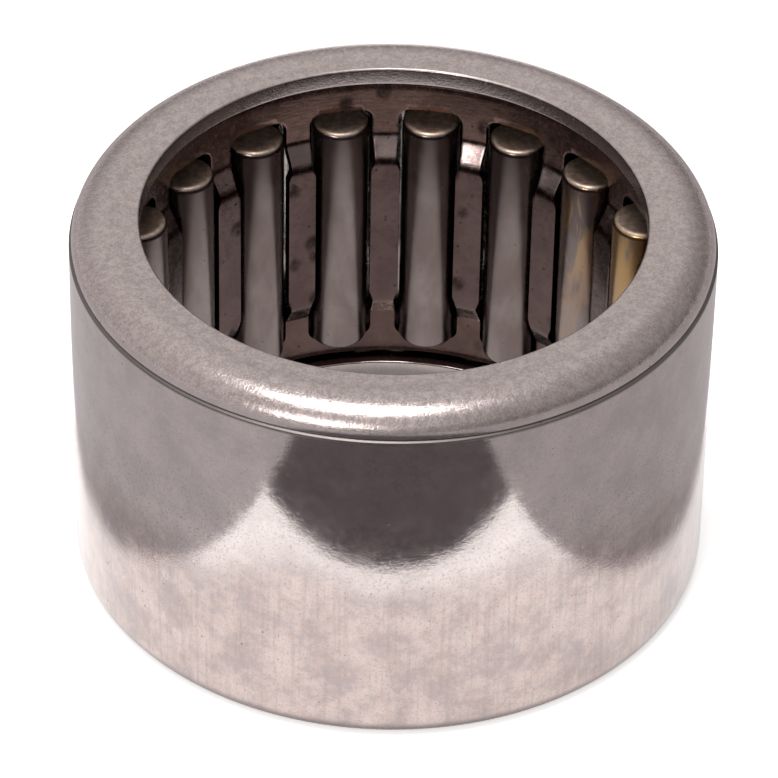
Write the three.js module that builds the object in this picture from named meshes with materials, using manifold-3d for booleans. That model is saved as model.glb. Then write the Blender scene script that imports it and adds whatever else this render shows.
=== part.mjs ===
// Drawn-cup needle roller bearing for a 3/4 inch shaft: one drawn cup with two lips,
// one sheet-steel cage and a single row of loose needles.
// Millimetres, +Z up along the bearing axis, origin at the centre of the lower face.
import * as THREE from 'three';
import { mergeVertices } from 'three/addons/utils/BufferGeometryUtils.js';
import Module from 'manifold-3d';

const wasm = await Module();
wasm.setup();

// Cup: a 1 inch by 5/8 inch shell, drawn from sheet, with an inward lip at each end.
const CUP_OUTER_R = 12.7;
const CUP_HEIGHT = 15.875;
const RACEWAY_R = 11.95;
const LIP_HOLE_R = 9.93;
const LIP_THICKNESS = 0.8;
const LIP_EDGE_BREAK = 0.1;
const INNER_CORNER_R = 0.35;
const BASE_ROUND_R = 0.75;
// The upper end is curled over: a rounded shoulder sits just inside the wall.
const CURL_WIDTH = 1.5;
const CURL_HEIGHT = 1.1;
const CURL_STEP = 0.08;
const CUP_SIDES = 72;
// Straight steps along each quarter round of the cup's section.
const BASE_ROUND_STEPS = 4;
const CURL_STEPS = 5;
const INNER_CORNER_STEPS = 2;

// Needles: 3/32 inch rollers with rounded ends.
const NEEDLE_COUNT = 18;
const NEEDLE_R = 1.19;
const NEEDLE_PITCH_R = 10.715;
const NEEDLE_BOTTOM_Z = 1.9;
const NEEDLE_TOP_Z = 12.95;
const NEEDLE_END_ROUND = 0.28;
const NEEDLE_SIDES = 14;
const NEEDLE_END_STEPS = 2;
// The first needle stands this far from +Y towards +X, and the others follow clockwise from above.
const FIRST_NEEDLE_DEG = 7.8;

// Cage: thin sheet, rims running outside the pitch circle and bars drawn inside it.
const CAGE_SHEET = 0.4;
const CAGE_RIM_R = 10.9;
const CAGE_WAIST_R = 10.35;
const CAGE_BOTTOM_Z = 1.0;
const CAGE_TOP_Z = 14.65;
const CAGE_LOWER_BEND_Z = 3.15;
const CAGE_UPPER_BEND_Z = 12.15;
const CAGE_INCLINE_HEIGHT = 1.0;
const CAGE_SIDES = 72;

// Pockets: narrow at the waist, so that a needle can't fall inwards, and wide at both ends.
const POCKET_BOTTOM_Z = 1.85;
const POCKET_TOP_Z = 13.45;
const POCKET_WAIST_HALF = 1.1725;
const POCKET_END_HALF = 1.33;
const POCKET_CORNER_R = 0.45;
const POCKET_END_LENGTH = 2.15;
const POCKET_FLARE_LENGTH = 0.6;
const POCKET_CORNER_STEPS = 3;
// Each pocket is cut from inside the cage's bore to outside its rims.
const CUTTER_INNER_R = 9;
const CUTTER_OUTER_R = 12.2;

const CUP_STEEL = new THREE.MeshStandardMaterial({ color: 0xb9afac, roughness: 0.38, metalness: 1 });
const CAGE_STEEL = new THREE.MeshStandardMaterial({ color: 0x5a4a45, roughness: 0.5, metalness: 1 });
const NEEDLE_STEEL = new THREE.MeshStandardMaterial({ color: 0x8c857f, roughness: 0.2, metalness: 1 });

// Points along a quarter of an ellipse, from startDeg to endDeg about (r, z).
function arc(r, z, radiusR, radiusZ, startDeg, endDeg, steps) {
  const points = [];
  for (let i = 0; i <= steps; i += 1) {
    const angle = THREE.MathUtils.degToRad(startDeg + ((endDeg - startDeg) * i) / steps);
    points.push([r + radiusR * Math.cos(angle), z + radiusZ * Math.sin(angle)]);
  }
  return points;
}

// Keeps positions only, joins equal vertices and drops triangles that have collapsed.
function welded(geometry) {
  const bare = geometry.clone();
  bare.deleteAttribute('normal');
  bare.deleteAttribute('uv');
  const merged = mergeVertices(bare, 1e-5);
  const index = merged.index.array;
  const kept = [];
  for (let i = 0; i < index.length; i += 3) {
    const [a, b, c] = [index[i], index[i + 1], index[i + 2]];
    if (a !== b && b !== c && c !== a) kept.push(a, b, c);
  }
  merged.setIndex(kept);
  return merged;
}

// Turns a profile of [radius, height] points about the Z axis.
function turned(profile, sides) {
  const points = profile.map(([r, z]) => new THREE.Vector2(r, z));
  const geometry = new THREE.LatheGeometry(points, sides);
  geometry.rotateX(Math.PI / 2);
  return welded(geometry);
}

function toManifold(geometry) {
  return new wasm.Manifold(new wasm.Mesh({
    numProp: 3,
    vertProperties: Float32Array.from(geometry.attributes.position.array),
    triVerts: Uint32Array.from(geometry.index.array),
  }));
}

function fromManifold(manifold) {
  const mesh = manifold.getMesh();
  const geometry = new THREE.BufferGeometry();
  geometry.setAttribute('position', new THREE.BufferAttribute(Float32Array.from(mesh.vertProperties), 3));
  geometry.setIndex(Array.from(mesh.triVerts));
  return geometry;
}

function piece(name, geometry, material) {
  const flat = geometry.toNonIndexed();
  flat.computeVertexNormals();
  const mesh = new THREE.Mesh(flat, material);
  mesh.name = name;
  return mesh;
}

function cupGeometry() {
  const top = CUP_HEIGHT;
  const cornerR = RACEWAY_R - INNER_CORNER_R;
  const lowerCornerZ = LIP_THICKNESS + INNER_CORNER_R;
  const curlOuterR = CUP_OUTER_R - CURL_STEP;
  const profile = [
    [LIP_HOLE_R + LIP_EDGE_BREAK, 0],
    ...arc(CUP_OUTER_R - BASE_ROUND_R, BASE_ROUND_R, BASE_ROUND_R, BASE_ROUND_R, -90, 0, BASE_ROUND_STEPS),
    [CUP_OUTER_R, top - CURL_HEIGHT - CURL_STEP],
    ...arc(curlOuterR - CURL_WIDTH, top - CURL_HEIGHT, CURL_WIDTH, CURL_HEIGHT, 0, 90, CURL_STEPS),
    [LIP_HOLE_R + LIP_EDGE_BREAK, top],
    [LIP_HOLE_R, top - LIP_EDGE_BREAK],
    [LIP_HOLE_R, top - LIP_THICKNESS],
    ...arc(cornerR, top - lowerCornerZ, INNER_CORNER_R, INNER_CORNER_R, 90, 0, INNER_CORNER_STEPS),
    ...arc(cornerR, lowerCornerZ, INNER_CORNER_R, INNER_CORNER_R, 0, -90, INNER_CORNER_STEPS),
    [LIP_HOLE_R, LIP_THICKNESS],
    [LIP_HOLE_R, LIP_EDGE_BREAK],
    [LIP_HOLE_R + LIP_EDGE_BREAK, 0],
  ];
  return turned(profile, CUP_SIDES);
}

function cageBlank() {
  const inclineAngle = Math.atan2(CAGE_RIM_R - CAGE_WAIST_R, CAGE_INCLINE_HEIGHT);
  const bendShift = CAGE_SHEET * Math.tan(inclineAngle / 2);
  const outer = [
    [CAGE_RIM_R, CAGE_BOTTOM_Z],
    [CAGE_RIM_R, CAGE_LOWER_BEND_Z],
    [CAGE_WAIST_R, CAGE_LOWER_BEND_Z + CAGE_INCLINE_HEIGHT],
    [CAGE_WAIST_R, CAGE_UPPER_BEND_Z - CAGE_INCLINE_HEIGHT],
    [CAGE_RIM_R, CAGE_UPPER_BEND_Z],
    [CAGE_RIM_R, CAGE_TOP_Z],
  ];
  const shifts = [0, -bendShift, -bendShift, bendShift, bendShift, 0];
  const inner = outer.map(([r, z], i) => [r - CAGE_SHEET, z + shifts[i]]);
  const profile = [...outer, ...inner.reverse(), outer[0]];
  return turned(profile, CAGE_SIDES);
}

// One pocket cutter, standing on the +X side of the axis and pointing outwards.
function pocketCutter() {
  const corner = POCKET_CORNER_R;
  const wide = POCKET_END_HALF;
  const flareLow = POCKET_BOTTOM_Z + POCKET_END_LENGTH;
  const flareHigh = POCKET_TOP_Z - POCKET_END_LENGTH;
  const right = [
    ...arc(wide - corner, POCKET_BOTTOM_Z + corner, corner, corner, -90, 0, POCKET_CORNER_STEPS),
    [wide, flareLow],
    [POCKET_WAIST_HALF, flareLow + POCKET_FLARE_LENGTH],
    [POCKET_WAIST_HALF, flareHigh - POCKET_FLARE_LENGTH],
    [wide, flareHigh],
    ...arc(wide - corner, POCKET_TOP_Z - corner, corner, corner, 0, 90, POCKET_CORNER_STEPS),
  ];
  const left = right.map(([x, z]) => [-x, z]).reverse();
  const outline = new THREE.Shape([...right, ...left].map(([x, z]) => new THREE.Vector2(x, z)));
  const depth = CUTTER_OUTER_R - CUTTER_INNER_R;
  const geometry = new THREE.ExtrudeGeometry(outline, { depth, bevelEnabled: false });
  geometry.rotateX(Math.PI / 2);
  geometry.rotateZ(Math.PI / 2);
  geometry.translate(CUTTER_INNER_R, 0, 0);
  return welded(geometry);
}

function needleAngle(i) {
  return THREE.MathUtils.degToRad(90 - FIRST_NEEDLE_DEG - (i * 360) / NEEDLE_COUNT);
}

function cageGeometry() {
  let cage = toManifold(cageBlank());
  const cutter = pocketCutter();
  for (let i = 0; i < NEEDLE_COUNT; i += 1) {
    cage = cage.subtract(toManifold(cutter.clone().rotateZ(needleAngle(i))));
  }
  return fromManifold(cage);
}

function needleGeometry() {
  const round = NEEDLE_END_ROUND;
  const low = NEEDLE_BOTTOM_Z;
  const high = NEEDLE_TOP_Z;
  const profile = [
    [0, low],
    ...arc(NEEDLE_R - round, low + round, round, round, -90, 0, NEEDLE_END_STEPS),
    ...arc(NEEDLE_R - round, high - round, round, round, 0, 90, NEEDLE_END_STEPS),
    [0, high],
  ];
  return turned(profile, NEEDLE_SIDES);
}

const bearing = new THREE.Group();
bearing.name = 'needle_roller_bearing';
bearing.add(piece('cup', cupGeometry(), CUP_STEEL));
bearing.add(piece('cage', cageGeometry(), CAGE_STEEL));

const needle = needleGeometry();
for (let i = 0; i < NEEDLE_COUNT; i += 1) {
  const angle = needleAngle(i);
  const placed = needle.clone();
  placed.translate(NEEDLE_PITCH_R * Math.cos(angle), NEEDLE_PITCH_R * Math.sin(angle), 0);
  bearing.add(piece(`needle_${String(i + 1).padStart(2, '0')}`, placed, NEEDLE_STEEL));
}

export default bearing;
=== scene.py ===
"""Looks for a drawn-cup needle roller bearing: cup, sheet cage and loose needles on a pale floor."""
import math

import bmesh
import bpy
from mathutils import Matrix, Vector


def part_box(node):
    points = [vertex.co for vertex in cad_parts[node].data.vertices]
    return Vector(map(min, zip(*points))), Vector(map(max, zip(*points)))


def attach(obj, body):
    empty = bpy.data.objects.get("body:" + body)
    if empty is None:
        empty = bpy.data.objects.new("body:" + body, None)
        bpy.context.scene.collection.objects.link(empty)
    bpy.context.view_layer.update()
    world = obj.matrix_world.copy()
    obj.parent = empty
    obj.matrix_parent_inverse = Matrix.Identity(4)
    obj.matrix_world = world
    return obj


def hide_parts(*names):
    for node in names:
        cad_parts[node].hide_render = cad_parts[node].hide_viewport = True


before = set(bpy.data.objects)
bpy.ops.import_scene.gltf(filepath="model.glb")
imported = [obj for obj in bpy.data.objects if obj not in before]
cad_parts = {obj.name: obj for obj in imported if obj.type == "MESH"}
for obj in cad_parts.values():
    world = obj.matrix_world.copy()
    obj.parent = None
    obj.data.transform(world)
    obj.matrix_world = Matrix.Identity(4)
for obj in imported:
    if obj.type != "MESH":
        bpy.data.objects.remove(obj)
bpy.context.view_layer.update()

MM = 0.001

# Sizes in millimetres, read from the frame where the frame holds them.
# The others repeat the CAD model's, which the frame's boxes don't give.
CUP_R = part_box("cup")[1][0] / MM
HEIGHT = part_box("cup")[1][2] / MM
LIP_HOLE_R = 9.93
LIP_THICKNESS = 0.8
RACEWAY_R = 11.95
CURL_WIDTH = 1.5
LIP_SINK = 0.03
CURL_HEIGHT = 1.1
CURL_STEP = 0.08
CURL_ARC_STEPS = 22
FOOT_ROUND = 0.75
CUP_STEPS = 288
CREASE_Z = HEIGHT - CURL_HEIGHT

CAGE_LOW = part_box("cage")[0][2] / MM
CAGE_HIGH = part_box("cage")[1][2] / MM
CAGE_RIM_R = 10.7
CAGE_WAIST_R = 10.15
CAGE_SHEET = 0.4
CAGE_EDGE_ROUND = 0.07
LOWER_BEND = 3.15
UPPER_BEND = 12.15
INCLINE = 1.0
BEND_SHARE = 0.16
POCKET_LOW = 1.85
POCKET_HIGH = 13.45
POCKET_WAIST_HALF = 1.1725
POCKET_END_HALF = 1.34
POCKET_CORNER = 0.5
POCKET_END_LENGTH = 2.15
POCKET_FLARE = 0.6
BAR_COLUMNS = 10
GAP_COLUMNS = 10
RIM_ROWS = 4
CORNER_ROWS = 8
ROW_STEP = 0.3
BEND_ROW_STEP = 0.1
BEND_REACH = 1.1

NEEDLES = sorted(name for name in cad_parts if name.startswith("needle_"))
NEEDLE_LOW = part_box(NEEDLES[0])[0][2] / MM
NEEDLE_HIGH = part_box(NEEDLES[0])[1][2] / MM
NEEDLE_R = 1.19
NEEDLE_END_ROUND = 0.3
NEEDLE_DISH = 0.03
NEEDLE_STEPS = 64

# The pale sheet that the bearing stands on ends beside it and in front of it, and the bench goes on.
SHEET_SIDE = 15.4
SHEET_FRONT = -22.85
BENCH_REACH = 400.0
CARD_LIFT = 0.02
FLOOR_SIZE_M = 6.0


# ---------------------------------------------------------------- mesh helpers

def rounded(corners, steps=6):
    """A closed outline of (x, y, radius) corners, each rounded by an arc of its radius."""
    outline = []
    count = len(corners)
    for i, (x, y, radius) in enumerate(corners):
        here = Vector((x, y))
        if radius == 0:
            outline.append(here)
            continue
        back = Vector(corners[i - 1][:2]) - here
        ahead = Vector(corners[(i + 1) % count][:2]) - here
        half = back.angle(ahead) / 2
        reach = min(radius / math.tan(half), back.length * 0.49, ahead.length * 0.49)
        start = here + back.normalized() * reach
        end = here + ahead.normalized() * reach
        for k in range(steps + 1):
            t = k / steps
            outline.append(start.lerp(here, t).lerp(here.lerp(end, t), t))
    return outline


def finish_mesh(name, bm, material, body, node, sharp_deg=40.0):
    """Makes a piece of a bmesh in millimetres, smooth-shaded, riding on its body in its node's place."""
    bmesh.ops.recalc_face_normals(bm, faces=bm.faces)
    bmesh.ops.scale(bm, vec=(MM, MM, MM), verts=bm.verts)
    mesh = bpy.data.meshes.new(name)
    bm.to_mesh(mesh)
    bm.free()
    mesh.shade_smooth()
    mesh.set_sharp_from_angle(angle=math.radians(sharp_deg))
    mesh.materials.append(material)
    piece = bpy.data.objects.new(name, mesh)
    bpy.context.collection.objects.link(piece)
    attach(piece, body)
    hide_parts(node)
    return piece


def turned(outline, steps, centre=(0.0, 0.0), closed=True):
    """Turns an outline of (radius, height) about a vertical axis through centre."""
    bm = bmesh.new()
    rings = []
    for r, z in outline:
        if r < 1e-6:
            rings.append([bm.verts.new((centre[0], centre[1], z))] * steps)
            continue
        ring = []
        for k in range(steps):
            a = 2 * math.pi * k / steps
            ring.append(bm.verts.new((centre[0] + r * math.cos(a), centre[1] + r * math.sin(a), z)))
        rings.append(ring)
    pairs = list(zip(rings, rings[1:]))
    if closed:
        pairs.append((rings[-1], rings[0]))
    for low, high in pairs:
        for k in range(steps):
            n = (k + 1) % steps
            corners = []
            for v in (low[k], low[n], high[n], high[k]):
                if v not in corners:
                    corners.append(v)
            if len(corners) > 2:
                bm.faces.new(corners)
    return bm


# ---------------------------------------------------------------- node helpers

class Nodes:
    """A short way to write a node tree."""

    def __init__(self, tree):
        self.tree = tree

    def put(self, socket, value):
        if isinstance(value, bpy.types.NodeSocket):
            self.tree.links.new(value, socket)
        else:
            socket.default_value = value

    def math(self, operation, a, b=0.0, clamp=False):
        node = self.tree.nodes.new("ShaderNodeMath")
        node.operation = operation
        node.use_clamp = clamp
        self.put(node.inputs[0], a)
        self.put(node.inputs[1], b)
        return node.outputs[0]

    def fade(self, value, low, high, to_low=0.0, to_high=1.0):
        """Maps value from low..high to to_low..to_high, smoothly and clamped."""
        node = self.tree.nodes.new("ShaderNodeMapRange")
        node.interpolation_type = "SMOOTHSTEP"
        self.put(node.inputs["Value"], value)
        node.inputs["From Min"].default_value = low
        node.inputs["From Max"].default_value = high
        node.inputs["To Min"].default_value = to_low
        node.inputs["To Max"].default_value = to_high
        return node.outputs["Result"]

    def mix(self, factor, a, b):
        node = self.tree.nodes.new("ShaderNodeMix")
        node.data_type = "RGBA"
        self.put(node.inputs[0], factor)
        self.put(node.inputs[6], a)
        self.put(node.inputs[7], b)
        return node.outputs[2]

    def millimetres(self, scale=(1, 1, 1), turn=(0, 0, 0)):
        coords = self.tree.nodes.new("ShaderNodeTexCoord")
        mapping = self.tree.nodes.new("ShaderNodeMapping")
        mapping.inputs["Scale"].default_value = [s / MM for s in scale]
        mapping.inputs["Rotation"].default_value = turn
        self.tree.links.new(coords.outputs["Object"], mapping.inputs["Vector"])
        return mapping.outputs["Vector"]

    def noise(self, vector, scale=1.0, detail=3.0, roughness=0.55, distortion=0.0):
        node = self.tree.nodes.new("ShaderNodeTexNoise")
        self.put(node.inputs["Vector"], vector)
        node.inputs["Scale"].default_value = scale
        node.inputs["Detail"].default_value = detail
        node.inputs["Roughness"].default_value = roughness
        node.inputs["Distortion"].default_value = distortion
        return node.outputs["Fac"]

    def spots(self, vector, scale, low, high, share):
        """Round spots of random size: 1 inside a spot, 0 outside, in about that share of the cells."""
        cells = self.tree.nodes.new("ShaderNodeTexVoronoi")
        self.put(cells.inputs["Vector"], vector)
        cells.inputs["Scale"].default_value = scale
        disc = self.fade(cells.outputs["Distance"], low, high, 1.0, 0.0)
        chosen = self.math("LESS_THAN", self.separate(cells.outputs["Color"])[0], share)
        return self.math("MULTIPLY", disc, chosen)

    def separate(self, vector):
        node = self.tree.nodes.new("ShaderNodeSeparateXYZ")
        self.put(node.inputs[0], vector)
        return node.outputs[0], node.outputs[1], node.outputs[2]

    def height(self):
        return self.separate(self.millimetres())[2]

    def radius(self):
        """Distance from the bearing's axis, and height, in millimetres."""
        x, y, z = self.separate(self.millimetres())
        square = self.math("ADD", self.math("MULTIPLY", x, x), self.math("MULTIPLY", y, y))
        return self.math("SQRT", square), z

    def bump(self, height, distance_mm, strength=1.0, under=None):
        node = self.tree.nodes.new("ShaderNodeBump")
        node.inputs["Strength"].default_value = strength
        node.inputs["Distance"].default_value = distance_mm * MM
        self.put(node.inputs["Height"], height)
        if under is not None:
            self.put(node.inputs["Normal"], under)
        return node.outputs["Normal"]


def new_steel(name):
    material = bpy.data.materials.new(name)
    material.use_nodes = True
    shader = material.node_tree.nodes["Principled BSDF"]
    shader.inputs["Metallic"].default_value = 1.0
    return material, shader, Nodes(material.node_tree)


def rgb(r, g, b):
    return (r, g, b, 1.0)


# ---------------------------------------------------------------- materials

# Base colours, each pair from its darker to its lighter end.
CUP_STEEL = (rgb(0.50, 0.455, 0.445), rgb(0.60, 0.545, 0.53))
# A darker, browner tone for the lower wall.
CUP_LOWER_WALL = (rgb(0.335, 0.285, 0.28), rgb(0.485, 0.41, 0.39))
CUP_BROWN = rgb(0.46, 0.35, 0.305)
CUP_STREAK = rgb(0.28, 0.24, 0.235)
CUP_FLECK = rgb(0.30, 0.25, 0.235)
# Painted shade along the bottom edge, where the cup meets the floor.
CUP_FOOT_SHADE = rgb(0.09, 0.075, 0.07)
# Painted shade in the crease under the curl.
CUP_CREASE_SHADE = rgb(0.10, 0.085, 0.08)
CUP_LIP = (rgb(0.40, 0.345, 0.33), rgb(0.55, 0.475, 0.455))
CUP_BORE_EDGE = rgb(0.30, 0.27, 0.26)
CUP_DIRT = rgb(0.10, 0.075, 0.065)


def cup_material():
    """Worn drawn steel, with a darker, browner and rougher lower wall, and painted shade in the crease
    under the curl and along the bottom edge.
    """
    material, shader, n = new_steel("cup_steel_worn")
    r, z = n.radius()
    lip_top = n.math("MULTIPLY", n.fade(z, HEIGHT - 0.12, HEIGHT - 0.01), n.fade(r, 11.7, 11.0))
    lip_bore = n.fade(r, LIP_HOLE_R + 0.12, LIP_HOLE_R + 0.02)
    wavy_z = n.math("ADD", z, n.math("MULTIPLY", n.noise(n.millimetres(), 0.16, 2.0), 5.0))
    low_wall = n.fade(wavy_z, 11.8, 8.8)
    # The crease band under the curl: its colour is painted shade, and its roughness is raised.
    crease = n.math("MULTIPLY", n.fade(z, CREASE_Z - 0.24, CREASE_Z - 0.12),
                    n.fade(z, CREASE_Z + 0.07, CREASE_Z))
    # The band along the bottom edge, where painted shade goes.
    foot_shade = n.fade(z, 0.75, 0.3)

    mottle = n.noise(n.millimetres(), 0.55, 6.0, 0.7)
    fine = n.noise(n.millimetres((1, 1, 0.6)), 3.4, 5.0, 0.7)
    grain = n.noise(n.millimetres(), 11.0, 3.0, 0.6)
    drawn = n.noise(n.millimetres((7.0, 7.0, 0.22)), 1.0, 3.0, 0.6)
    turned_marks = n.noise(n.millimetres((0.12, 0.12, 22.0)), 1.0, 2.0, 0.5)
    scuffs = n.noise(n.millimetres((9.0, 0.7, 2.2), (0.5, 0.9, 0.4)), 1.0, 2.0, 0.5)
    scratch = n.fade(scuffs, 0.66, 0.74)
    pits = n.spots(n.millimetres(), 1.25, 0.035, 0.085, 0.28)
    small_pits = n.spots(n.millimetres(), 3.1, 0.05, 0.13, 0.16)
    dirt = n.math("MULTIPLY", n.math("MAXIMUM", pits, small_pits), 0.62)

    # The lower wall is darker and browner than the upper wall.
    lower_wall_tone = n.mix(n.fade(mottle, 0.36, 0.64), *CUP_LOWER_WALL)
    lower_wall_tone = n.mix(n.fade(fine, 0.48, 0.72, 0.0, 0.75), lower_wall_tone, CUP_BROWN)
    streaks = n.math("MULTIPLY", n.fade(drawn, 0.48, 0.66), 0.3)
    lower_wall_tone = n.mix(streaks, lower_wall_tone, CUP_STREAK)
    flecks = n.math("MULTIPLY", n.fade(grain, 0.52, 0.68), n.fade(z, 12.0, 8.0, 0.4, 1.0))
    lip_tone = n.mix(n.fade(n.math("ADD", fine, grain), 0.8, 1.2), *CUP_LIP)
    colour = n.mix(n.fade(mottle, 0.32, 0.68), *CUP_STEEL)
    colour = n.mix(low_wall, colour, lower_wall_tone)
    # Paints shade along the bottom edge, where the cup meets the floor.
    colour = n.mix(n.math("MULTIPLY", foot_shade, 0.88), colour, CUP_FOOT_SHADE)
    colour = n.mix(n.math("MULTIPLY", flecks, 0.62), colour, CUP_FLECK)
    # Paints shade into the crease under the curl.
    colour = n.mix(n.math("MULTIPLY", crease, 0.85), colour, CUP_CREASE_SHADE)
    colour = n.mix(n.fade(z, HEIGHT - 1.0, HEIGHT - 0.6), colour, lip_tone)
    colour = n.mix(n.math("MULTIPLY", lip_bore, 0.45), colour, CUP_BORE_EDGE)
    colour = n.mix(dirt, colour, CUP_DIRT)
    n.put(shader.inputs["Base Color"], colour)

    rough = n.fade(mottle, 0.3, 0.7, 0.075, 0.115)
    rough = n.math("ADD", rough, n.math("MULTIPLY", n.fade(fine, 0.45, 0.8), 0.05))
    rough = n.math("ADD", rough, n.fade(z, 8.0, 6.5, 0.0, 0.07))
    rough = n.math("ADD", rough, n.math("MULTIPLY", crease, 0.3))
    rough = n.math("ADD", rough, n.math("MULTIPLY", n.fade(z, HEIGHT - 1.1, HEIGHT - 0.9), 0.13))
    rough = n.math("ADD", rough, n.math("MULTIPLY", lip_top, 0.1))
    rough = n.math("ADD", rough, n.math("MULTIPLY", dirt, 0.3), clamp=True)
    n.put(shader.inputs["Roughness"], rough)

    relief = n.math("MULTIPLY", drawn, n.fade(z, 7.6, 6.4, 0.08, 0.3))
    relief = n.math("ADD", relief, n.math("MULTIPLY", turned_marks, 0.06))
    curl = n.fade(z, HEIGHT - 1.05, HEIGHT - 0.9)
    coarse = n.math("ADD", n.math("MULTIPLY", curl, 1.5), n.fade(z, 7.8, 6.4, 0.06, 0.6))
    relief = n.math("ADD", relief, n.math("MULTIPLY", n.math("ADD", grain, fine), coarse))
    relief = n.math("SUBTRACT", relief, n.math("MULTIPLY", scratch, n.fade(z, 10.0, 5.0, 0.12, 0.5)))
    relief = n.math("SUBTRACT", relief, n.math("MULTIPLY", dirt, 0.25))
    soft = n.bump(mottle, 0.02, 0.4)
    n.put(shader.inputs["Normal"], n.bump(relief, 0.007, 0.8, soft))
    return material


CAGE_STEEL_LOW = rgb(0.095, 0.061, 0.054)
CAGE_STEEL_HIGH = rgb(0.155, 0.096, 0.082)
CAGE_WAIST = rgb(0.09, 0.06, 0.056)
# Painted highlight: a lighter colour for the upper bend, where a reflection would fall.
CAGE_BEND_HIGHLIGHT = rgb(0.36, 0.29, 0.275)
CAGE_BLOTCH = rgb(0.03, 0.02, 0.018)
CAGE_OIL = rgb(0.018, 0.012, 0.011)


def cage_material():
    """Dark sheet steel with blots of old oil, lighter towards the top and darker at the waist, with a
    painted highlight on the upper bend.
    """
    material, shader, n = new_steel("cage_steel_oily")
    blotch = n.noise(n.millimetres(), 0.55, 4.0, 0.6, 0.4)
    fine = n.noise(n.millimetres(), 3.5, 4.0, 0.6)
    rolled = n.noise(n.millimetres((2.0, 2.0, 9.0)), 1.0, 2.0, 0.5)
    blots = n.spots(n.millimetres((1, 1, 0.8)), 0.85, 0.14, 0.36, 0.6)
    specks = n.spots(n.millimetres(), 2.3, 0.08, 0.2, 0.35)
    z = n.height()
    colour = n.mix(n.fade(z, 2.5, 12.3), CAGE_STEEL_LOW, CAGE_STEEL_HIGH)
    waist = n.math("MULTIPLY", n.fade(z, LOWER_BEND + 0.2, LOWER_BEND + INCLINE),
                   n.fade(z, UPPER_BEND - INCLINE + 0.15, UPPER_BEND - INCLINE))
    colour = n.mix(waist, colour, CAGE_WAIST)
    # Painted highlight on the upper bend: the band is coloured lighter, as a reflection would light it.
    bend_highlight = n.math("MULTIPLY", n.fade(z, UPPER_BEND - INCLINE, UPPER_BEND - INCLINE + 0.2),
                    n.fade(z, UPPER_BEND + 0.15, UPPER_BEND - 0.05))
    colour = n.mix(n.math("MULTIPLY", bend_highlight, 0.8), colour, CAGE_BEND_HIGHLIGHT)
    colour = n.mix(n.fade(blotch, 0.35, 0.65, 0.35, 0.0), colour, CAGE_BLOTCH)
    stain = n.math("MAXIMUM", n.math("MULTIPLY", blots, 0.85), n.math("MULTIPLY", specks, 0.7))
    stain = n.math("MULTIPLY", stain, n.fade(fine, 0.3, 0.6, 0.5, 1.0))
    colour = n.mix(stain, colour, CAGE_OIL)
    n.put(shader.inputs["Base Color"], colour)
    rough = n.math("ADD", n.fade(fine, 0.35, 0.7, 0.18, 0.3), n.math("MULTIPLY", stain, 0.15))
    n.put(shader.inputs["Roughness"], rough)
    relief = n.math("ADD", n.math("MULTIPLY", rolled, 0.5), n.math("MULTIPLY", fine, 0.5))
    relief = n.math("ADD", relief, n.math("MULTIPLY", stain, 0.5))
    n.put(shader.inputs["Normal"], n.bump(relief, 0.01, 0.6))
    return material


NEEDLE_STEEL = (rgb(0.135, 0.105, 0.099), rgb(0.21, 0.172, 0.165))
NEEDLE_SPECK = rgb(0.10, 0.075, 0.06)
NEEDLE_AMBER = rgb(0.40, 0.25, 0.115)
NEEDLE_RUST = rgb(0.17, 0.07, 0.03)
# Painted reflection: a lighter brown for the end faces, as the brown cage above would show in them.
NEEDLE_END_REFLECTION = (rgb(0.40, 0.305, 0.235), rgb(0.58, 0.475, 0.38))


def needle_material(name, amber):
    """Polished steel under old oil; amber is how strongly dried oil and rust tint it."""
    material, shader, n = new_steel(name)
    film = n.noise(n.millimetres((1, 1, 0.45)), 0.6, 4.0, 0.6, 0.3)
    fine = n.noise(n.millimetres(), 4.0, 4.0, 0.6)
    ground = n.noise(n.millimetres((0.6, 0.6, 30.0)), 1.0, 2.0, 0.5)
    specks = n.spots(n.millimetres(), 2.6, 0.05, 0.12, 0.12)
    colour = n.mix(n.fade(film, 0.35, 0.7), *NEEDLE_STEEL)
    z = n.height()
    colour = n.mix(n.math("MULTIPLY", specks, 0.6), colour, NEEDLE_SPECK)
    if amber > 0:
        drips = n.noise(n.millimetres((1.1, 1.1, 0.25)), 1.3, 3.0, 0.6, 0.6)
        high = n.fade(z, 5.5, 11.5, 0.25, 1.0)
        stain = n.math("MULTIPLY", n.fade(drips, 0.6 - 0.25 * amber, 0.68 - 0.2 * amber), high)
        colour = n.mix(n.math("MULTIPLY", stain, amber), colour, NEEDLE_AMBER)
        rust = n.spots(n.millimetres(), 0.9, 0.12, 0.3, 0.35)
        colour = n.mix(n.math("MULTIPLY", rust, 0.8 * amber), colour, NEEDLE_RUST)
    end_face = n.math("MAXIMUM", n.fade(z, NEEDLE_HIGH - 0.12, NEEDLE_HIGH - 0.04),
                      n.fade(z, NEEDLE_LOW + 0.12, NEEDLE_LOW + 0.04))
    # Painted reflection on the end faces: lighter brown, as the brown cage above would show in them.
    painted_end_reflection = n.mix(n.fade(fine, 0.4, 0.65), *NEEDLE_END_REFLECTION)
    n.put(shader.inputs["Base Color"], n.mix(end_face, colour, painted_end_reflection))
    rough = n.math("ADD", n.fade(film, 0.35, 0.75, 0.22, 0.28), n.math("MULTIPLY", specks, 0.25))
    n.put(shader.inputs["Roughness"], n.math("ADD", rough, n.math("MULTIPLY", end_face, 0.2)))
    relief = n.math("ADD", n.math("MULTIPLY", ground, 0.3), n.math("MULTIPLY", fine, 0.12))
    n.put(shader.inputs["Normal"], n.bump(relief, 0.003, 0.4))
    return material


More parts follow.
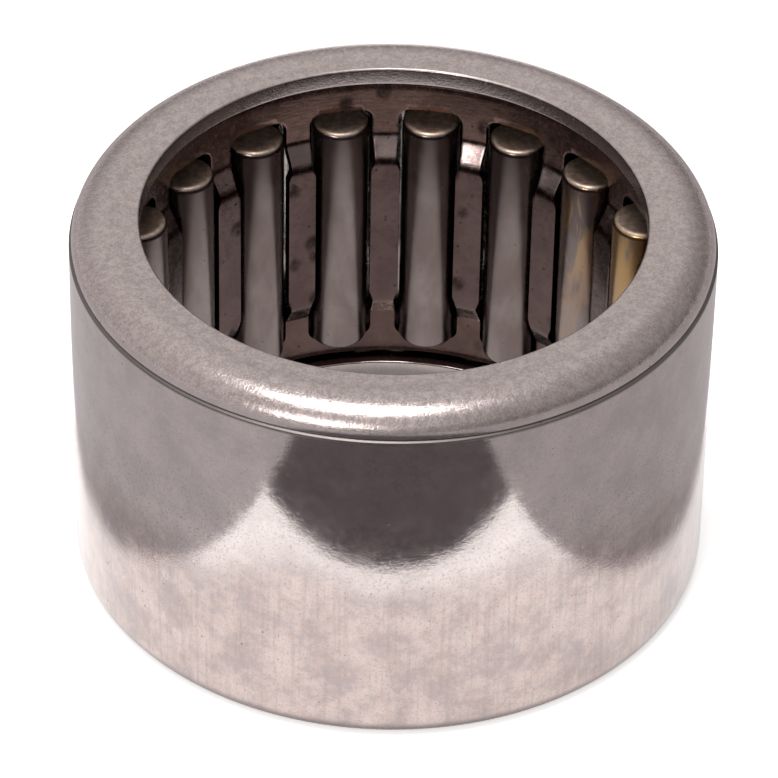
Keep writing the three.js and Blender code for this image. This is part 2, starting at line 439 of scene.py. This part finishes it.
def floor_material():
    material = bpy.data.materials.new("floor_pale")
    material.use_nodes = True
    shader = material.node_tree.nodes["Principled BSDF"]
    n = Nodes(material.node_tree)
    tone = n.noise(n.millimetres(), 0.02, 2.0)
    n.put(shader.inputs["Base Color"], n.mix(tone, rgb(0.93, 0.925, 0.92), rgb(0.95, 0.945, 0.94)))
    shader.inputs["Roughness"].default_value = 0.7
    shader.inputs["Emission Color"].default_value = rgb(1.0, 0.995, 0.99)
    shader.inputs["Emission Strength"].default_value = 0.5
    shader.inputs["Specular IOR Level"].default_value = 0.2
    return material


# ---------------------------------------------------------------- pieces

def cup_piece():
    """The cup, turned from its section: foot, wall, crease, curl, upper lip and raceway."""
    top = HEIGHT
    curl_r = CUP_R - CURL_STEP
    corners = [
        (LIP_HOLE_R, 0.0, 0.14),
        (CUP_R, 0.0, FOOT_ROUND),
        (CUP_R, CREASE_Z - 0.09, 0.022),
        (curl_r - 0.02, CREASE_Z - 0.045, 0.02),
        (curl_r, CREASE_Z + 0.02, 0.0),
    ]
    for k in range(1, CURL_ARC_STEPS + 1):
        a = math.pi / 2 * k / CURL_ARC_STEPS
        r = curl_r - CURL_WIDTH * (1 - math.cos(a))
        corners.append((r, top - CURL_HEIGHT * (1 - math.sin(a)), 0.0))
    corners += [
        (curl_r - CURL_WIDTH - 0.05, top, 0.12),
        (curl_r - CURL_WIDTH - 0.5, top - LIP_SINK, 0.3),
        (LIP_HOLE_R, top - LIP_SINK, 0.12),
        (LIP_HOLE_R, top - LIP_THICKNESS, 0.1),
        (RACEWAY_R, top - LIP_THICKNESS, 0.35),
        (RACEWAY_R, LIP_THICKNESS, 0.35),
        (LIP_HOLE_R, LIP_THICKNESS, 0.1),
    ]
    bm = turned(rounded(corners), CUP_STEPS)
    return finish_mesh("drawn_cup", bm, cup_material(), "cup", "cup")


def pocket_half(z):
    """Half the pocket's width at height z: rounded corners, wide ends and a narrow waist."""
    to_end = min(z - POCKET_LOW, POCKET_HIGH - z)
    if to_end < POCKET_CORNER:
        drop = POCKET_CORNER - max(to_end, 0.0)
        return POCKET_END_HALF - POCKET_CORNER + math.sqrt(POCKET_CORNER ** 2 - drop ** 2)
    t = min(max((to_end - POCKET_END_LENGTH) / POCKET_FLARE, 0.0), 1.0)
    t = t * t * (3 - 2 * t)
    return POCKET_END_HALF + (POCKET_WAIST_HALF - POCKET_END_HALF) * t


def soft_corner(u):
    """0 below u = 0 and u above it, with a smooth bend between -BEND_SHARE and BEND_SHARE."""
    if u <= -BEND_SHARE:
        return 0.0
    if u >= BEND_SHARE:
        return u
    return (u + BEND_SHARE) ** 2 / (4 * BEND_SHARE)


def sheet_radius(z):
    """The cage sheet's middle radius at height z: rims outside, waist inside, soft bends between."""
    t = min(UPPER_BEND - z, z - LOWER_BEND) / INCLINE
    inward = soft_corner(t) - soft_corner(t - 1)
    return CAGE_RIM_R + (CAGE_WAIST_R - CAGE_RIM_R) * inward


def pocket_levels():
    """Heights of the mesh rows along a bar, close together where the outline curves."""
    levels = set()
    for k in range(CORNER_ROWS + 1):
        drop = POCKET_CORNER * (1 - math.cos(math.pi / 2 * k / CORNER_ROWS))
        levels.add(round(POCKET_LOW + drop, 4))
        levels.add(round(POCKET_HIGH - drop, 4))
    z = POCKET_LOW + POCKET_CORNER
    while z < POCKET_HIGH - POCKET_CORNER:
        levels.add(round(z, 4))
        to_bend = min(abs(z - LOWER_BEND - INCLINE / 2), abs(z - UPPER_BEND + INCLINE / 2))
        z += BEND_ROW_STEP if to_bend < BEND_REACH else ROW_STEP
    return sorted(levels)


def cage_piece():
    """The cage: a grid of bars and rims on the sheet's middle surface, thickened, with rounded edges."""
    bm = bmesh.new()
    pitch = 2 * math.pi / len(NEEDLES)
    rows = pocket_levels()
    lower_rows = [CAGE_LOW + (POCKET_LOW - CAGE_LOW) * k / RIM_ROWS for k in range(RIM_ROWS)]
    upper_rows = [POCKET_HIGH + (CAGE_HIGH - POCKET_HIGH) * (k + 1) / RIM_ROWS for k in range(RIM_ROWS)]

    def vertex(angle, z):
        r = sheet_radius(z)
        return bm.verts.new((r * math.cos(angle), r * math.sin(angle), z))

    def bar_angles(i, z):
        half = math.asin(pocket_half(z) / sheet_radius(z))
        low = needle_angle(i) + half
        high = needle_angle(i) + pitch - half
        return [low + (high - low) * k / BAR_COLUMNS for k in range(BAR_COLUMNS + 1)]

    def gap_angles(i, z):
        half = math.asin(pocket_half(z) / sheet_radius(z))
        low = needle_angle(i) + pitch - half
        return [low + 2 * half * k / GAP_COLUMNS for k in range(1, GAP_COLUMNS)]

    grid = {}
    for row, z in enumerate(rows):
        for i in range(len(NEEDLES)):
            grid["bar", row, i] = [vertex(a, z) for a in bar_angles(i, z)]
    for end, edge_row, levels in (("low", 0, lower_rows), ("high", len(rows) - 1, upper_rows)):
        edge_z = rows[edge_row]
        rings = []
        for z in levels:
            rings.append([vertex(a, z) for i in range(len(NEEDLES))
                          for a in bar_angles(i, edge_z) + gap_angles(i, edge_z)])
        shared = []
        for i in range(len(NEEDLES)):
            shared += grid["bar", edge_row, i] + [vertex(a, edge_z) for a in gap_angles(i, edge_z)]
        rings = rings + [shared] if end == "low" else [shared] + rings
        for low, high in zip(rings, rings[1:]):
            for k in range(len(low)):
                n = (k + 1) % len(low)
                bm.faces.new((low[k], low[n], high[n], high[k]))
    for row in range(len(rows) - 1):
        for i in range(len(NEEDLES)):
            low, high = grid["bar", row, i], grid["bar", row + 1, i]
            for k in range(BAR_COLUMNS):
                bm.faces.new((low[k], low[k + 1], high[k + 1], high[k]))

    mesh = bpy.data.meshes.new("cage_sheet")
    bm.to_mesh(mesh)
    bm.free()
    blank = bpy.data.objects.new("cage_blank", mesh)
    bpy.context.collection.objects.link(blank)
    sheet = blank.modifiers.new("sheet", "SOLIDIFY")
    sheet.thickness = CAGE_SHEET
    sheet.offset = 0.0
    edges = blank.modifiers.new("edges", "BEVEL")
    edges.width = CAGE_EDGE_ROUND
    edges.segments = 3
    edges.limit_method = "ANGLE"
    edges.angle_limit = math.radians(55)
    solid = blank.evaluated_get(bpy.context.evaluated_depsgraph_get())
    bm = bmesh.new()
    bm.from_mesh(solid.to_mesh())
    solid.to_mesh_clear()
    bpy.data.objects.remove(blank)
    return finish_mesh("cage_shell", bm, cage_material(), "cage", "cage")


def needle_centre(node):
    """The needle's axis, as x and y in millimetres."""
    low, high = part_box(node)
    return (low[0] + high[0]) / 2 / MM, (low[1] + high[1]) / 2 / MM


def needle_angle(i):
    """The angle of pocket i, counted anticlockwise from the first needle."""
    x, y = needle_centre(NEEDLES[0])
    return math.atan2(y, x) + i * 2 * math.pi / len(NEEDLES)


def needle_pieces():
    """One turned needle for each needle node. Two of them are stained with dried oil and rust."""
    clean = needle_material("needle_steel_oiled", 0.0)
    stained = needle_material("needle_steel_stained", 0.6)
    amber = needle_material("needle_steel_amber", 0.95)
    looks = {"needle_03": stained, "needle_04": amber}
    for node in NEEDLES:
        corners = [
            (0.0, NEEDLE_LOW + NEEDLE_DISH, 0.0),
            (NEEDLE_R * 0.5, NEEDLE_LOW + NEEDLE_DISH * 0.6, 0.0),
            (NEEDLE_R, NEEDLE_LOW, NEEDLE_END_ROUND),
            (NEEDLE_R, NEEDLE_HIGH, NEEDLE_END_ROUND),
            (NEEDLE_R * 0.5, NEEDLE_HIGH - NEEDLE_DISH * 0.6, 0.0),
            (0.0, NEEDLE_HIGH - NEEDLE_DISH, 0.0),
        ]
        bm = turned(rounded(corners, 8), NEEDLE_STEPS, needle_centre(node), closed=False)
        finish_mesh(node + "_roller", bm, looks.get(node, clean), node, node, 60.0)


# ---------------------------------------------------------------- stage, lights and camera

def card(name, left, right, front, back, colour):
    """A flat glowing card just above the floor, which shows only in reflections."""
    corners = [(left, front), (right, front), (right, back), (left, back)]
    points = [(x * MM, y * MM, CARD_LIFT * MM) for x, y in corners]
    mesh = bpy.data.meshes.new(name)
    mesh.from_pydata(points, [], [(0, 1, 2, 3)])
    material = bpy.data.materials.new(name)
    material.use_nodes = True
    tree = material.node_tree
    tree.nodes.clear()
    glow = tree.nodes.new("ShaderNodeEmission")
    glow.inputs["Color"].default_value = rgb(*colour)
    out = tree.nodes.new("ShaderNodeOutputMaterial")
    tree.links.new(glow.outputs[0], out.inputs["Surface"])
    mesh.materials.append(material)
    obj = bpy.data.objects.new(name, mesh)
    bpy.context.collection.objects.link(obj)
    obj.visible_camera = False
    obj.visible_diffuse = False
    obj.visible_shadow = False
    obj.visible_transmission = False
    return obj


def stage():
    """The pale floor, and the darker bench round it as cards that only reflections show."""
    bpy.ops.mesh.primitive_plane_add(size=FLOOR_SIZE_M, location=(0, 0, 0))
    floor = bpy.context.active_object
    floor.name = "floor"
    floor.data.materials.append(floor_material())
    card("bench_left", -BENCH_REACH, -SHEET_SIDE, -BENCH_REACH, BENCH_REACH, (0.63, 0.59, 0.60))
    card("bench_right", SHEET_SIDE, BENCH_REACH, -BENCH_REACH, BENCH_REACH, (0.53, 0.49, 0.50))
    card("bench_front", -SHEET_SIDE, SHEET_SIDE, -BENCH_REACH, SHEET_FRONT, (0.145, 0.122, 0.132))


def panel(name, azimuth, elevation, distance_mm, size_mm, radiance, tint=(1, 1, 1)):
    """A soft square light, aimed at the bearing. Radiance is what a mirror would show."""
    light = bpy.data.lights.new(name, "AREA")
    light.shape = "RECTANGLE"
    light.size = size_mm[0] * MM
    light.size_y = size_mm[1] * MM
    light.color = tint
    light.energy = radiance * math.pi * light.size * light.size_y
    obj = bpy.data.objects.new(name, light)
    bpy.context.collection.objects.link(obj)
    a, e = math.radians(azimuth), math.radians(elevation)
    away = Vector((math.sin(a) * math.cos(e), -math.cos(a) * math.cos(e), math.sin(e)))
    obj.location = (away * distance_mm + Vector((0, 0, HEIGHT / 2))) * MM
    obj.rotation_euler = away.to_track_quat("Z", "Y").to_euler()
    return obj


def lights():
    """A pale sky with greyer sides, a soft sun overhead and one soft panel at the front left."""
    world = bpy.data.worlds.new("studio")
    bpy.context.scene.world = world
    world.use_nodes = True
    n = Nodes(world.node_tree)
    direction = world.node_tree.nodes.new("ShaderNodeTexCoord").outputs["Generated"]
    x, _, height = n.separate(direction)
    sky = n.fade(height, 0.0, 0.62)
    right_side = n.math("MULTIPLY", n.fade(x, 0.05, 0.6), 0.55)
    colour = n.mix(sky, rgb(0.25, 0.235, 0.235), rgb(0.84, 0.82, 0.82))
    left_side = n.math("MULTIPLY", n.fade(x, -0.25, -0.8), 0.8)
    colour = n.mix(left_side, colour, rgb(0.74, 0.71, 0.71))
    n.put(world.node_tree.nodes["Background"].inputs["Color"],
          n.mix(right_side, colour, rgb(0.22, 0.20, 0.20)))
    sun = bpy.data.lights.new("overhead", "SUN")
    sun.energy = 1.4
    sun.angle = math.radians(20)
    lamp = bpy.data.objects.new("overhead", sun)
    bpy.context.collection.objects.link(lamp)
    lamp.rotation_euler = (math.radians(4), math.radians(-6), 0)
    panel("front_left", -24, 26, 260, (80, 50), 14.0, (1.0, 0.95, 0.93))


def camera():
    """The camera stands in front, above the bearing, slightly rolled, with a long lens."""
    elevation = math.radians(38.43)
    roll = math.radians(1.116)
    distance = 218.76
    left = 0.077
    down = 0.565
    data = bpy.data.cameras.new("camera")
    data.sensor_width = 36.0
    data.lens = 253.8
    data.clip_start = 0.01
    obj = bpy.data.objects.new("camera", data)
    bpy.context.collection.objects.link(obj)
    back = Vector((0, -math.cos(elevation), math.sin(elevation)))
    right = Vector((1, 0, 0))
    up = back.cross(right)
    rolled_right = right * math.cos(roll) + up * math.sin(roll)
    rolled_up = up * math.cos(roll) - right * math.sin(roll)
    place = Vector((0, 0, HEIGHT / 2)) + back * distance - rolled_right * left - rolled_up * down
    turn = Matrix((rolled_right, rolled_up, back)).transposed().to_4x4()
    obj.matrix_world = Matrix.Translation(place * MM) @ turn
    bpy.context.scene.camera = obj


camera()
stage()
lights()
cup_piece()
cage_piece()
needle_pieces()
bpy.context.scene.view_settings.view_transform = "Standard"
